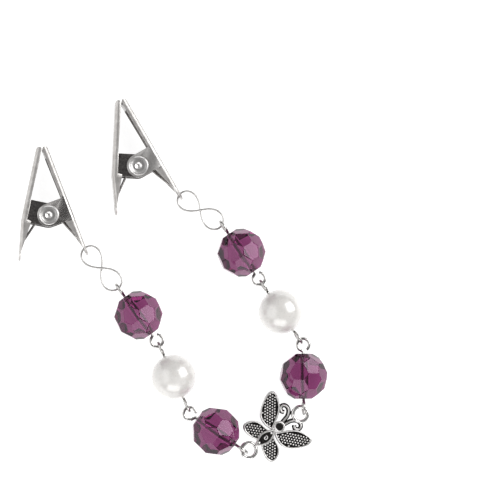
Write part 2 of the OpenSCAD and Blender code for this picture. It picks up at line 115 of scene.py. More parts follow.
# A wire's rounded end: its steps, its length as a share of the wire's radius, and how far it narrows
CAP_STEPS = (0.5, 0.85, 1.0)
CAP_LENGTH = 0.25
CAP_TAPER = 0.9

# Angles in degrees: facets and sheet metal have their edges rounded where they bend by more than the
# first two, and faces of sheet metal that bend by less than the third are made one
FACET_EDGE_ANGLE = 20
SHEET_EDGE_ANGLE = 30
FLAT_ANGLE = 0.5

# A bead's 32 facets: twelve five-sided and twenty six-sided
HEXAGON_STEP = 41.81
BELT_TILT = 10.812
PENTAGON_TILT = 26.565
CAP_TILT = BELT_TILT + HEXAGON_STEP
BEAD_ROLL = 108

# Heights above the floor, reaches and the play of each piece in the next
AXIS_Z = BEAD_R / math.cos(math.radians(HEXAGON_STEP / 2))
PEARL_Z = PEARL_D / 2
BEAD_PIN_REACH = BEAD_R + NECK + EYE_R
PEARL_PIN_REACH = PEARL_D / 2 + NECK + EYE_R
EYE_PLAY = EYE_R - PIN_WIRE_D - CLEARANCE
RING_MID_R = (RING_D - RING_BAR) / 2
RING_PLAY = RING_MID_R - RING_BAR / 2 - PIN_WIRE_D / 2 - CLEARANCE
LINK_PLAY = EYE_R - PIN_WIRE_D / 2 - LINK_WIRE_D / 2 - CLEARANCE
HOLE_PLAY = (HANDLE_HOLE_D - LINK_WIRE_D) / 2 - CLEARANCE
SIDE_GAP = CLEARANCE / 2
CLIP_Z = CLIP_WIDTH / 2 + SIDE_GAP + HEAD_H
CHARM_DROP = 0.45
CHARM_Z = AXIS_Z - CHARM_DROP
LINK_DROP = 0.5
LINK_BEAD_Z = AXIS_Z - LINK_DROP
LINK_SLOPE = math.asin((LINK_BEAD_Z - CLIP_Z) / LINK_LENGTH)
LINK_FLAT = LINK_LENGTH * math.cos(LINK_SLOPE)
LINK_MID_Z = (LINK_BEAD_Z + CLIP_Z) / 2
INNER_EAR_Z = CLIP_WIDTH / 2 - SHEET - SIDE_GAP
HANDLE_SET = CLEARANCE / 2
HANDLE_HOLE_X = CHAIN_LEVER_BACK - (SHEET + HANDLE_SET) / 2
HANDLE_HOLE_Y = -(HANDLE_REACH - HANDLE_HOLE_EDGE)

CHAIN_NOSE_X = CHAIN_LEVER_BACK - NOSE_D / 2
FREE_NOSE_X = FREE_LEVER_BACK - NOSE_D / 2
NOSE_STEP = 2 * math.asin((NOSE_D + CLEARANCE) / (2 * JAW_REACH))
CLIP_SPREAD = math.degrees(math.asin(CHAIN_NOSE_X / JAW_REACH) + math.asin(FREE_NOSE_X / JAW_REACH)
                           - NOSE_STEP)

# The lie of the chain: each pin's heading and its shares of play, from the charm outward,
# then the figure-eight link with the heading of the lever that holds it
CHARM_HEADING = 34.7
LEFT_ARM = [(145.8, 0.2, 0.9), (114.7, 0.9, -0.3), (126.2, 0.95, 0)]
RIGHT_ARM = [(90.4, 0.1, -0.92), (124, 0.95, 0), (124.4, 0.95, 0)]
LEFT_END = (129.7, 0.6, -0.44, 111.3)
RIGHT_END = (143.8, 0.7, 0.4, 120.3)


def turn(angle):
    """Unit vector at an angle in degrees."""
    return Vector((math.cos(math.radians(angle)), math.sin(math.radians(angle))))


def spin(point, angle):
    """A level point turned about the origin."""
    c, s = turn(angle)
    return Vector((point[0] * c - point[1] * s, point[0] * s + point[1] * c))


def hook(pin, play):
    """How far a pin's eye is drawn from the middle of the eye or ring that it hooks into."""
    heading, pull, side = pin
    return play * (pull * turn(heading) + side * turn(heading + 90))


def lay_arm(start, arm, end):
    """Middles of the pieces of one arm, laid out from its ring on the charm."""
    inner = start + hook(arm[0], RING_PLAY) + (EYE_R + BEAD_PIN_REACH) * turn(arm[0][0])
    pearl = (inner + BEAD_PIN_REACH * turn(arm[0][0]) + hook(arm[1], EYE_PLAY)
             + (EYE_R + PEARL_PIN_REACH) * turn(arm[1][0]))
    outer = (pearl + (PEARL_PIN_REACH + EYE_R) * turn(arm[1][0]) + hook(arm[2], EYE_PLAY)
             + BEAD_PIN_REACH * turn(arm[2][0]))
    link = outer + BEAD_PIN_REACH * turn(arm[2][0]) + end[1] * LINK_PLAY * turn(end[0])
    hole = link + LINK_FLAT * turn(end[0]) + end[2] * HOLE_PLAY * turn(end[3])
    pivot = hole - spin((HANDLE_HOLE_X, HANDLE_HOLE_Y), end[3] - 90)
    return {"inner": inner, "pearl": pearl, "outer": outer,
            "link": link + LINK_FLAT / 2 * turn(end[0]), "pivot": pivot}


left = lay_arm(-CHARM_SPAN / 2 * turn(CHARM_HEADING), LEFT_ARM, LEFT_END)
right = lay_arm(CHARM_SPAN / 2 * turn(CHARM_HEADING), RIGHT_ARM, RIGHT_END)
low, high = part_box("bead_a")
SHIFT = Vector(((low + high) / 2 / MM)[:2]) - left["outer"]


def placed(at, z, heading):
    """Matrix, in millimetres, that puts a piece drawn at the origin at its place."""
    spot = at + SHIFT
    return Matrix.Translation((spot[0], spot[1], z)) @ Matrix.Rotation(math.radians(heading), 4, "Z")


# Meshes
def make(name, vertices, faces, matrix=None, smooth=True):
    """An object from vertices in millimetres, moved by a matrix and scaled to metres."""
    mesh = bpy.data.meshes.new(name)
    mesh.from_pydata([tuple(v) for v in vertices], [], faces)
    mesh.transform(Matrix.Scale(MM, 4) @ (matrix or Matrix.Identity(4)))
    bm = bmesh.new()
    bm.from_mesh(mesh)
    bmesh.ops.recalc_face_normals(bm, faces=bm.faces)
    bm.to_mesh(mesh)
    bm.free()
    mesh.polygons.foreach_set("use_smooth", [smooth] * len(mesh.polygons))
    piece = bpy.data.objects.new(name, mesh)
    bpy.context.scene.collection.objects.link(piece)
    return piece


def joined(name, parts):
    """Several pieces made into one."""
    for part in bpy.context.selected_objects:
        part.select_set(False)
    for part in parts:
        part.select_set(True)
    bpy.context.view_layer.objects.active = parts[0]
    bpy.ops.object.join()
    parts[0].name = name
    parts[0].data.name = name
    parts[0].select_set(False)
    return parts[0]


def tube_shape(path, radius, sides, closed):
    """Vertices and faces of a round wire along a path, its ends rounded off."""
    points = [Vector(p) for p in path]
    count = len(points)
    if closed:
        neighbours = [(i - 1, (i + 1) % count) for i in range(count)]
    else:
        neighbours = [(max(i - 1, 0), min(i + 1, count - 1)) for i in range(count)]
    tangents = [(points[after] - points[before]).normalized() for before, after in neighbours]
    normal = tangents[0].orthogonal().normalized()
    normals = []
    for i, tangent in enumerate(tangents):
        if i:
            normal = tangents[i - 1].rotation_difference(tangent) @ normal
        normal = (normal - normal.dot(tangent) * tangent).normalized()
        normals.append(normal)
    twist = 0
    if closed:
        back = tangents[-1].rotation_difference(tangents[0]) @ normals[-1]
        twist = math.atan2(back.cross(normals[0]).dot(tangents[0]), back.dot(normals[0]))
    rings = [(points[i], tangents[i], normals[i], radius, twist * i / count) for i in range(count)]
    if not closed:
        for end, sign in ((0, -1), (-1, 1)):
            p, t, n, r, w = rings[end]
            caps = [(p + sign * radius * CAP_LENGTH * s * t, t, n,
                     radius * math.sqrt(1 - (CAP_TAPER * s) ** 2), w) for s in CAP_STEPS]
            rings = list(reversed(caps)) + rings if sign < 0 else rings + caps
    vertices = []
    for p, t, n, r, w in rings:
        side = t.cross(n)
        for k in range(sides):
            a = w + 2 * math.pi * k / sides
            vertices.append(p + r * (math.cos(a) * n + math.sin(a) * side))
    faces = []
    total = len(rings)
    for i in range(total if closed else total - 1):
        a, b = i * sides, (i + 1) % total * sides
        for k in range(sides):
            m = (k + 1) % sides
            faces.append((a + k, a + m, b + m, b + k))
    if not closed:
        faces.append(tuple(range(sides - 1, -1, -1)))
        faces.append(tuple((total - 1) * sides + k for k in range(sides)))
    return vertices, faces


def tube(name, path, diameter, matrix=None, sides=14, closed=False):
    """A round wire along a path."""
    return make(name, *tube_shape(path, diameter / 2, sides, closed), matrix)


def lathe(name, profile, matrix=None, sides=72):
    """A turned piece from a profile of (radius, height) points round the Z axis."""
    vertices, rows = [], []
    for radius, height in profile:
        if radius < 1e-6:
            rows.append([len(vertices)] * sides)
            vertices.append(Vector((0, 0, height)))
        else:
            rows.append(list(range(len(vertices), len(vertices) + sides)))
            vertices += [Vector((radius * math.cos(2 * math.pi * k / sides),
                                 radius * math.sin(2 * math.pi * k / sides), height)) for k in range(sides)]
    faces = []
    for upper, lower in zip(rows, rows[1:]):
        for k in range(sides):
            m = (k + 1) % sides
            corners = []
            for corner in (upper[k], upper[m], lower[m], lower[k]):
                if corner not in corners:
                    corners.append(corner)
            if len(corners) > 2:
                faces.append(corners)
    return make(name, vertices, faces, matrix)


def smooth_path(points, steps):
    """A Catmull-Rom curve through a list of points."""
    points = [Vector(p) for p in points]
    ends = [2 * points[0] - points[1]] + points + [2 * points[-1] - points[-2]]
    path = []
    for i in range(1, len(ends) - 2):
        a, b, c, d = ends[i - 1:i + 3]
        for k in range(steps):
            t = k / steps
            path.append(0.5 * (2 * b + (c - a) * t + (2 * a - 5 * b + 4 * c - d) * t ** 2
                               + (3 * b - a - 3 * c + d) * t ** 3))
    return path + [points[-1]]


# Materials
def new_material(name):
    """A material with its nodes, links and shader."""
    material = bpy.data.materials.new(name)
    material.use_nodes = True
    nodes = material.node_tree.nodes
    shader = nodes["Principled BSDF"]
    return material, nodes, material.node_tree.links, shader


def noise(nodes, links, scale, detail=3, stretch=(1, 1, 1)):
    """A noise texture in the piece's own coordinates, in metres."""
    place = nodes.new("ShaderNodeTexCoord")
    mapping = nodes.new("ShaderNodeMapping")
    mapping.inputs["Scale"].default_value = stretch
    texture = nodes.new("ShaderNodeTexNoise")
    texture.inputs["Scale"].default_value = scale
    texture.inputs["Detail"].default_value = detail
    links.new(place.outputs["Object"], mapping.inputs["Vector"])
    links.new(mapping.outputs["Vector"], texture.inputs["Vector"])
    return texture.outputs["Fac"]


def ramp(nodes, links, value, stops):
    """A colour that follows a value through its stops."""
    node = nodes.new("ShaderNodeValToRGB")
    elements = node.color_ramp.elements
    while len(elements) < len(stops):
        elements.new(0.5)
    for element, (position, color) in zip(elements, stops):
        element.position = position
        element.color = (*color, 1)
    links.new(value, node.inputs["Fac"])
    return node.outputs["Color"]


def spread(nodes, links, value, low, high):
    """A noise value stretched to run from low to high."""
    node = nodes.new("ShaderNodeMapRange")
    node.inputs["From Min"].default_value = 0.3
    node.inputs["From Max"].default_value = 0.7
    node.inputs["To Min"].default_value = low
    node.inputs["To Max"].default_value = high
    links.new(value, node.inputs["Value"])
    return node.outputs["Result"]


def relief(nodes, links, value, shader, distance, strength):
    """A fine unevenness of the surface, its height in metres."""
    node = nodes.new("ShaderNodeBump")
    node.inputs["Strength"].default_value = strength
    node.inputs["Distance"].default_value = distance
    links.new(value, node.inputs["Height"])
    links.new(node.outputs["Normal"], shader.inputs["Normal"])


def metal(name, dark, light, rough, patch=900):
    """Metal with soft patches in its colour, a fine grain and uneven polish."""
    material, nodes, links, shader = new_material(name)
    shader.inputs["Metallic"].default_value = 1
    links.new(ramp(nodes, links, noise(nodes, links, patch), [(0.3, dark), (0.7, light)]),
              shader.inputs["Base Color"])
    fine = noise(nodes, links, 9000, 4)
    links.new(spread(nodes, links, fine, *rough), shader.inputs["Roughness"])
    relief(nodes, links, fine, shader, distance=0.000002, strength=0.4)
    return material


def glass():
    """Transparent purple glass that deepens with thickness, faintly cloudy in its colour."""
    material, nodes, links, shader = new_material("purple_glass")
    cloud = noise(nodes, links, 160)
    links.new(ramp(nodes, links, cloud, [(0.3, (0.37, 0.155, 0.295)), (0.7, (0.45, 0.215, 0.37))]),
              shader.inputs["Base Color"])
    shader.inputs["Transmission Weight"].default_value = 1
    shader.inputs["IOR"].default_value = 1.52
    shader.inputs["Specular Tint"].default_value = (0.95, 0.75, 0.9, 1)
    links.new(spread(nodes, links, noise(nodes, links, 2500, 4), 0.0, 0.03), shader.inputs["Roughness"])
    tint = nodes.new("ShaderNodeVolumeAbsorption")
    tint.inputs["Color"].default_value = (0.6, 0.04, 0.46, 1)
    tint.inputs["Density"].default_value = 190
    links.new(tint.outputs["Volume"], nodes["Material Output"].inputs["Volume"])
    return material


def pearl_coat():
    """White lustrous coat over a softly glowing body."""
    material, nodes, links, shader = new_material("pearl")
    links.new(ramp(nodes, links, noise(nodes, links, 350, 2),
                   [(0.3, (0.64, 0.625, 0.6)), (0.7, (0.72, 0.705, 0.68))]), shader.inputs["Base Color"])
    links.new(spread(nodes, links, noise(nodes, links, 3000), 0.26, 0.32), shader.inputs["Roughness"])
    shader.inputs["IOR"].default_value = 1.7
    shader.inputs["Subsurface Weight"].default_value = 0.25
    shader.inputs["Subsurface Radius"].default_value = (1.0, 0.95, 0.9)
    shader.inputs["Subsurface Scale"].default_value = 0.001
    shader.inputs["Coat Weight"].default_value = 1
    shader.inputs["Coat Roughness"].default_value = 0.18
    shader.inputs["Coat IOR"].default_value = 1.7
    relief(nodes, links, noise(nodes, links, 700, 2), shader, distance=0.00001, strength=0.3)
    return material


NICKEL = metal("satin_nickel", (0.44, 0.425, 0.415), (0.56, 0.545, 0.535), (0.2, 0.3))
RUBBED_NICKEL = metal("rubbed_nickel", (0.45, 0.435, 0.42), (0.6, 0.585, 0.57), (0.42, 0.54))
WORN_NICKEL = metal("worn_nickel", (0.46, 0.45, 0.44), (0.6, 0.59, 0.58), (0.33, 0.46), patch=2500)
# Near-black nickel for the loose levers' inner ears, which sit recessed between the held lever's ears:
# painted shade, not the metal's own colour
PAINTED_SHADE_EAR_NICKEL = metal("ear_nickel_painted_shade", (0.09, 0.085, 0.085), (0.2, 0.19, 0.185), (0.3, 0.45), patch=2500)
RIVET_NICKEL = metal("dished_nickel", (0.72, 0.71, 0.7), (0.88, 0.87, 0.86), (0.26, 0.36))
WIRE = metal("silver_wire", (0.42, 0.41, 0.4), (0.56, 0.55, 0.54), (0.1, 0.18))
LINK_WIRE = metal("bright_wire", (0.5, 0.49, 0.48), (0.62, 0.61, 0.6), (0.34, 0.44))
SPRING = metal("spring_steel", (0.3, 0.29, 0.28), (0.5, 0.48, 0.47), (0.2, 0.32))
CHARM_LIGHT = metal("charm_silver", (0.6, 0.59, 0.58), (0.8, 0.79, 0.78), (0.32, 0.44), patch=1800)
CHARM_RING = metal("charm_ring", (0.64, 0.63, 0.62), (0.82, 0.81, 0.8), (0.18, 0.26), patch=1800)
CHARM_DOT = metal("charm_dots", (0.9, 0.89, 0.88), (1.0, 0.99, 0.98), (0.5, 0.62), patch=1800)
CHARM_DARK = metal("charm_recess", (0.008, 0.008, 0.008), (0.045, 0.042, 0.04), (0.4, 0.6), patch=2600)
GLASS = glass()
PEARL = pearl_coat()


def dress(piece, material, body="chain", node=None):
    """Material, body and the CAD node that a piece stands for."""
    piece.data.materials.clear()
    piece.data.materials.append(material)
    if body:
        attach(piece, body)
    if node:
        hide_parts(node)
    return piece


# Glass beads
def facets():
    """Tilt from the hole and turn about it of one facet of each facing pair."""
    rows = [(90, 0)]
    for k in range(5):
        rows += [(PENTAGON_TILT, 72 * k), (BELT_TILT, 72 * k + 36), (CAP_TILT, 72 * k + 36)]
    return rows


def glass_bead(name, at, heading, node):
    """A drilled bead cut from a block, one pair of facing facets after another."""
    bm = bmesh.new()
    bmesh.ops.create_cube(bm, size=4 * BEAD_R)
    for tilt, about in facets():
        direction = (Matrix.Rotation(math.radians(BEAD_ROLL + about), 4, "X")
                     @ Matrix.Rotation(math.radians(-tilt), 4, "Z") @ Vector((0, 1, 0)))
        for side in (1, -1):
            cut = bmesh.ops.bisect_plane(
                bm, geom=bm.verts[:] + bm.edges[:] + bm.faces[:], clear_outer=True,
                plane_co=side * direction * BEAD_ACROSS / 2, plane_no=side * direction)
            edges = [e for e in cut["geom_cut"] if isinstance(e, bmesh.types.BMEdge)]
            if edges:
                bmesh.ops.contextual_create(bm, geom=edges)
    mesh = bpy.data.meshes.new(name)
    bm.to_mesh(mesh)
    bm.free()
    piece = bpy.data.objects.new(name, mesh)
    bpy.context.scene.collection.objects.link(piece)
    rod = [(0, -2 * BEAD_R), (BORE_D / 2, -2 * BEAD_R), (BORE_D / 2, 2 * BEAD_R), (0, 2 * BEAD_R)]
    drill = lathe(name + "_drill", rod, Matrix.Scale(1 / MM, 4) @ Matrix.Rotation(math.pi / 2, 4, "Y"), 24)
    bore = piece.modifiers.new("bore", "BOOLEAN")
    bore.object = drill
    bore.solver = "EXACT"
    bevel = piece.modifiers.new("bevel", "BEVEL")
    bevel.width = FACET_ROUND
    bevel.segments = 1
    bevel.limit_method = "ANGLE"
    bevel.angle_limit = math.radians(FACET_EDGE_ANGLE)
    bpy.context.view_layer.update()
    shape = bpy.data.meshes.new_from_object(piece.evaluated_get(bpy.context.evaluated_depsgraph_get()))
    piece.modifiers.clear()
    piece.data = shape
    bpy.data.objects.remove(drill)
    shape.transform(Matrix.Scale(MM, 4) @ placed(at, AXIS_Z, heading))
    shape.polygons.foreach_set("use_smooth", [False] * len(shape.polygons))
    return dress(piece, GLASS, node=node)


# Pearls
def pearl(name, at, heading, node):
    """A drilled pearl, turned about its hole, with the hole's lip rounded."""
    r, bore = PEARL_D / 2, BORE_D / 2
    start = math.asin((bore + LIP_WIDTH) / r)
    mouth = r * math.cos(start)
    steps = 40
    profile = [(bore, 0), (bore, mouth - LIP_DEPTH), (bore + LIP_WIDTH / 4, mouth - LIP_WIDTH / 2)]
    profile += [(r * math.sin(start + (math.pi / 2 - start) * i / steps),
                 r * math.cos(start + (math.pi / 2 - start) * i / steps)) for i in range(steps + 1)]
    mirrored = [(radius, -height) for radius, height in reversed(profile)]
    matrix = placed(at, PEARL_Z, heading) @ Matrix.Rotation(math.pi / 2, 4, "Y")
    piece = lathe(name, profile + mirrored[1:], matrix, 96)
    return dress(piece, PEARL, node=node)


# Eye pins
def eye_path(reach, flat):
    """The wire from the middle of a pin to the end of its turned eye."""
    points = [Vector((x, 0, 0)) for x in (0, reach * 0.4, reach - EYE_R - EYE_BEND)]
    begin_angle = math.radians(EYE_BEGIN)
    on_ring = Vector((reach + EYE_R * math.cos(begin_angle), EYE_R * math.sin(begin_angle), 0))
    control = Vector((reach - EYE_R - 0.02, 0.02, 0))
    begin = points[-1]
    bend_steps = 8
    for k in range(1, bend_steps):
        t = k / bend_steps
        points.append((1 - t) ** 2 * begin + 2 * t * (1 - t) * control + t ** 2 * on_ring)
    steps = 44
    for k in range(steps + 1):
        a = math.radians(EYE_BEGIN + (EYE_END - EYE_BEGIN) * k / steps)
        points.append(Vector((reach + EYE_R * math.cos(a), EYE_R * math.sin(a), 0)))
    if flat:
        return points
    return [Vector((p.x, -p.z, p.y)) for p in points]


def eye_pin(name, at, z, heading, reach, inner_flat, outer_flat, node):
    """A wire with an eye turned at each end, each eye either level or upright."""
    outer = eye_path(reach, outer_flat)
    inner = [Vector((-p.x, p.y, p.z)) for p in eye_path(reach, inner_flat)]
    path = list(reversed(inner))[:-1] + outer[1:]
    piece = tube(name, path, PIN_WIRE_D, placed(at, z, heading))
    return dress(piece, WIRE, node=node)


# Figure-eight links
def figure_eight(name, at, heading, node):
    """A closed wire in a level eight that passes over itself in the middle."""
    lobe = 1 / math.sqrt(8)
    path = []
    steps = 120
    for i in range(steps):
        t = 2 * math.pi * i / steps
        q = 1 + math.sin(t) ** 2
        path.append(Vector((LINK_LENGTH / 2 * math.cos(t) / q,
                            LINK_WIDTH / 2 / lobe * math.sin(t) * math.cos(t) / q,
                            (LINK_WIRE_D / 2 + SIDE_GAP) * math.sin(t))))
    matrix = placed(at, LINK_MID_Z, heading) @ Matrix.Rotation(LINK_SLOPE, 4, "Y")
    return dress(tube(name, path, LINK_WIRE_D, matrix, closed=True), LINK_WIRE, node=node)


# Clips
def softened(name, node, width, cuts):
    """The solid's own sheet metal, its faces divided at the cuts and its edges rounded off."""
    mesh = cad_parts[node].data.copy()
    mesh.name = name
    bm = bmesh.new()
    bm.from_mesh(mesh)
    bmesh.ops.remove_doubles(bm, verts=bm.verts, dist=2e-6)
    bmesh.ops.dissolve_limit(bm, angle_limit=math.radians(FLAT_ANGLE), verts=bm.verts, edges=bm.edges)
    for point, normal in cuts:
        bmesh.ops.bisect_plane(bm, geom=bm.verts[:] + bm.edges[:] + bm.faces[:],
                               plane_co=(*(point * MM), 0), plane_no=(*normal, 0))
    for layer in list(bm.loops.layers.uv):
        bm.loops.layers.uv.remove(layer)
    bm.to_mesh(mesh)
    bm.free()
    if "custom_normal" in mesh.attributes:
        mesh.attributes.remove(mesh.attributes["custom_normal"])
    piece = bpy.data.objects.new(name, mesh)
    bpy.context.scene.collection.objects.link(piece)
    bevel = piece.modifiers.new("bevel", "BEVEL")
    bevel.width = width * MM
    bevel.segments = 3
    bevel.limit_method = "ANGLE"
    bevel.angle_limit = math.radians(SHEET_EDGE_ANGLE)
    bevel.harden_normals = True
    bpy.context.view_layer.update()
    piece.data = bpy.data.meshes.new_from_object(piece.evaluated_get(bpy.context.evaluated_depsgraph_get()))
    piece.modifiers.clear()
    piece.data.polygons.foreach_set("use_smooth", [True] * len(piece.data.polygons))
    return piece


def lever(name, node, body, pivot, heading, ears, inner_ears):
    """A lever of rubbed sheet metal with darker ears; on the loose lever the inner ears take a near-black
    painted shade.
    """
    axis, centre = turn(heading), pivot + SHIFT
    cuts = [(centre + end * EAR_REACH * axis, axis) for end in (-1, 1)]
    piece = softened(name, node, SHEET_ROUND, cuts)
    dress(piece, NICKEL, body, node)
    piece.data.materials.append(ears)
    piece.data.materials.append(RUBBED_NICKEL)
    # Faces at the ears take index 1; on the loose lever these are only its inner ears, and there index 1 is
    # painted shade
    for face in piece.data.polygons:
        if abs(face.normal.z) < 0.5:
            continue
        middle = face.center / MM
        at_ears = abs((middle.xy - centre).dot(axis)) < EAR_REACH
        is_ear = not inner_ears or abs(middle.z - CLIP_Z) < INNER_EAR_Z + EAR_MARGIN
        face.material_index = 1 if at_ears and is_ear else 2
    return piece


# Half sections of the rivet's two ends: distance from its axis, and height above the ear it sits on
RIVET_HEAD = [(0, -0.04), (0.2, -0.03), (0.4, 0.03), (0.6, 0.15), (0.7, 0.21), (0.8, 0.22), (1.0, 0.2),
              (1.3, 0.23), (1.6, 0.3), (1.74, 0.34), (1.8, 0.32), (1.84, 0.36), (1.92, 0.43), (2.0, 0.42),
              (HEAD_D / 2 - 0.02, 0.34), (HEAD_D / 2, 0.2), (HEAD_D / 2 - 0.05, 0.06), (HEAD_D / 2 - 0.16, 0)]
RIVET_ROLL = [(RIM_D / 2 - 0.2, 0), (RIM_D / 2 - 0.06, 0.06), (RIM_D / 2, 0.2), (RIM_D / 2 - 0.05, 0.36),
              (RIM_D / 2 - 0.2, HEAD_H), (1.2, 0.4), (0.8, 0.3), (RIVET_HOLE_D / 2, 0.12)]


def rivet(name, pivot, node):
    """A rivet with a dished head above and a rolled, hollow end below."""
    seat = CLIP_WIDTH / 2 + SIDE_GAP
    profile = [(radius, seat + height) for radius, height in RIVET_HEAD]
    profile += [(SHANK_D / 2, seat), (SHANK_D / 2, -seat)]
    profile += [(radius, -seat - height) for radius, height in RIVET_ROLL]
    profile += [(RIVET_HOLE_D / 2, 0), (0, 0)]
    piece = lathe(name, profile, placed(pivot, CLIP_Z, 0))
    return dress(piece, RIVET_NICKEL, node=node)


def spring(name, pivot, heading, node):
    """The coil round the rivet with one arm along each handle."""
    coil_r = SHANK_D / 2 + CLEARANCE + SPRING_WIRE_D
    half = INNER_EAR_Z - SHEET - CLEARANCE - SPRING_WIRE_D / 2
    inset = HANDLE_SET + SHEET + SPRING_WIRE_D / 2 + CLEARANCE
    end_y = -ARM_SHARE * HANDLE_REACH
    chain_arm = Vector((CHAIN_LEVER_BACK - inset, end_y))
    joint = Vector((-FREE_LEVER_BACK, -EAR_R))
    free_arm = spin(joint + spin((inset, end_y + EAR_R), HANDLE_BEND), -CLIP_SPREAD)

    def bearing(p):
        return math.degrees(math.atan2(p[1], p[0]))

    def tangent_turn(p):
        return math.degrees(math.acos(coil_r / p.length))

    first = bearing(chain_arm) + tangent_turn(chain_arm)
    last = bearing(free_arm) + 360 - tangent_turn(free_arm) + 360 * (SPRING_TURNS - 1)
    steps = 40 * SPRING_TURNS
    arm_steps = 6
    coil = []
    for i in range(steps + 1):
        a = math.radians(first + (last - first) * i / steps)
        coil.append(Vector((coil_r * math.cos(a), coil_r * math.sin(a), half * (2 * i / steps - 1))))
    chain_end = Vector((*chain_arm, -half))
    free_end = Vector((*free_arm, half))
    path = [chain_end.lerp(coil[0], i / arm_steps) for i in range(arm_steps)] + coil
    path += [coil[-1].lerp(free_end, i / arm_steps) for i in range(1, arm_steps + 1)]
    piece = tube(name, path, SPRING_WIRE_D, placed(pivot, CLIP_Z, heading - 90), 12)
    dress(piece, SPRING, None, node)
    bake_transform(piece)
    return piece


# Charm
def leaf_half(s, peak, blunt):
    """Half width of a leaf, as a share of its widest, at a share of its length."""
    return abs(math.sin(math.pi * s ** (math.log(0.5) / math.log(peak)))) ** (1 - blunt * s)


def leaf(length, bulge_left, bulge_right, peak_left, peak_right, blunt, steps=28):
    """Outline of a leaf along +X, pointed at its root, the rounder at its tip the larger blunt is."""
    shares = [(1 - math.cos(math.pi * i / steps)) / 2 for i in range(steps + 1)]
    outline = [Vector((length * s, -bulge_right * leaf_half(s, peak_right, blunt))) for s in shares]
    outline += [Vector((length * s, bulge_left * leaf_half(s, peak_left, blunt))) for s in shares[-2:0:-1]]
    return outline


def slab(name, outline, z0, z1, matrix):
    """A flat plate from an outline."""
    count = len(outline)
    vertices = [Vector((p[0], p[1], z)) for z in (z0, z1) for p in outline]
    faces = [tuple(range(count - 1, -1, -1)), tuple(range(count, 2 * count))]
    faces += [(i, (i + 1) % count, count + (i + 1) % count, count + i) for i in range(count)]
    return make(name, vertices, faces, matrix, smooth=False)


def ridge(name, path, width, z0, z1, matrix, closed):
    """A raised line with a rounded top, swept along a level path."""
    points = [Vector((p[0], p[1])) for p in path]
    count = len(points)
    w, h = width / 2, z1 - z0
    profile = [(-w, 0), (-w, h - 0.8 * w), (-0.8 * w, h - 0.35 * w), (-0.4 * w, h - 0.06 * w), (0, h),
               (0.4 * w, h - 0.06 * w), (0.8 * w, h - 0.35 * w), (w, h - 0.8 * w), (w, 0)]
    size = len(profile)
    vertices = []
    for i, p in enumerate(points):
        before = points[i - 1] if closed or i else p
        after = points[(i + 1) % count] if closed or i < count - 1 else p
        a = (p - before).normalized() if (p - before).length else (after - p).normalized()
        b = (after - p).normalized() if (after - p).length else a
        along = (a + b).normalized() if (a + b).length > 0.2 else b
        across = Vector((-along.y, along.x))
        stretch = min(1 / max(across.dot(Vector((-b.y, b.x))), 0.5), 1.6)
        vertices += [Vector((*(p + across * x * stretch), z0 + z)) for x, z in profile]
    faces = []
    for i in range(count if closed else count - 1):
        a, b = i * size, (i + 1) % count * size
        faces += [(a + k, b + k, b + (k + 1) % size, a + (k + 1) % size) for k in range(size)]
    if not closed:
        faces += [tuple(range(size - 1, -1, -1)), tuple((count - 1) * size + k for k in range(size))]
    return make(name, vertices, faces, matrix)


def dome(name, at, radius, z, height, matrix):
    """A small cast dot with a rounded top."""
    rows, sides = 4, 12
    levels = [(radius, FLOOR_H - DOT_ROOT)]
    for row in range(rows):
        a = math.pi / 2 * row / rows
        levels.append((radius * math.cos(a), z + height * math.sin(a)))
    vertices = []
    for r, level in levels:
        vertices += [Vector((at[0] + r * math.cos(2 * math.pi * k / sides),
                             at[1] + r * math.sin(2 * math.pi * k / sides), level)) for k in range(sides)]
    vertices.append(Vector((at[0], at[1], z + height)))
    faces = [tuple(range(sides - 1, -1, -1))]
    for row in range(rows):
        a, b = row * sides, (row + 1) * sides
        faces += [(a + k, a + (k + 1) % sides, b + (k + 1) % sides, b + k) for k in range(sides)]
    faces += [(rows * sides + k, rows * sides + (k + 1) % sides, len(vertices) - 1) for k in range(sides)]
    return make(name, vertices, faces, matrix)


# The wings: where each edge is widest along the wing, how blunt its tip is, each wing's angle from the
# body, its bulges as shares of its length and its root as shares of the body's length and width
FORE_PEAK = 0.58
AFT_PEAK = 0.42
WING_BLUNT = 0.5
FRONT_ANGLE = 51
REAR_ANGLE = 132
FRONT_BULGE = (0.19, 0.32)
REAR_BULGE = (0.27, 0.42)
FRONT_ROOT = (-0.11, 0.16)
REAR_ROOT = (-0.21, 0.28)
FRONT_LIFT = 0.06

# The dots on the wings: the share of a wing left bare at each end, and the dots' gap to the rim,
# height and seat above the wing's floor
BARE_TIP = 0.04
DOT_GAP = 0.02
DOT_H = 0.26
DOT_SEAT = 0.12

# How far the body's and head's rims, their floors, the antennae and their webs rise above the wings'
# rims and floors, and the foot of every raised line
BODY_RISE = 0.4
BODY_FLOOR_RISE = 0.2
HEAD_FLOOR_RISE = 0.15
ANTENNA_RISE = 0.05
CURL_WEB_RISE = 0.2
LINE_FOOT = 0.02

# Widths of the raised lines and of the webs between the pieces
BODY_RIM_WIDTH = 0.4
HEAD_RIM_WIDTH = 0.38
ANTENNA_WIDTH = 0.36
CURL_WEB_WIDTH = 0.95
WING_WEB_WIDTH = 1.36
WEB_WIDTH = 0.68

# On the body, as shares of its length and width: its two dots, the end of the tail's web, and its rim
EYE_SHARES = (0.21, 0.8)
TAIL_SHARE = 0.8
BODY_RIM_SHARES = (0.93, 0.87)
EYE_DOT_R = 0.24
EYE_DOT_H = 0.2

# The swirl in the middle of the body: a spiral of points, each a little further out and turned on
SWIRL_POINTS = 9
SWIRL_START = 0.12
SWIRL_GROWTH = 0.05
SWIRL_TURN = 50
SWIRL_WIDTH = 0.16
SWIRL_RISE = 0.28

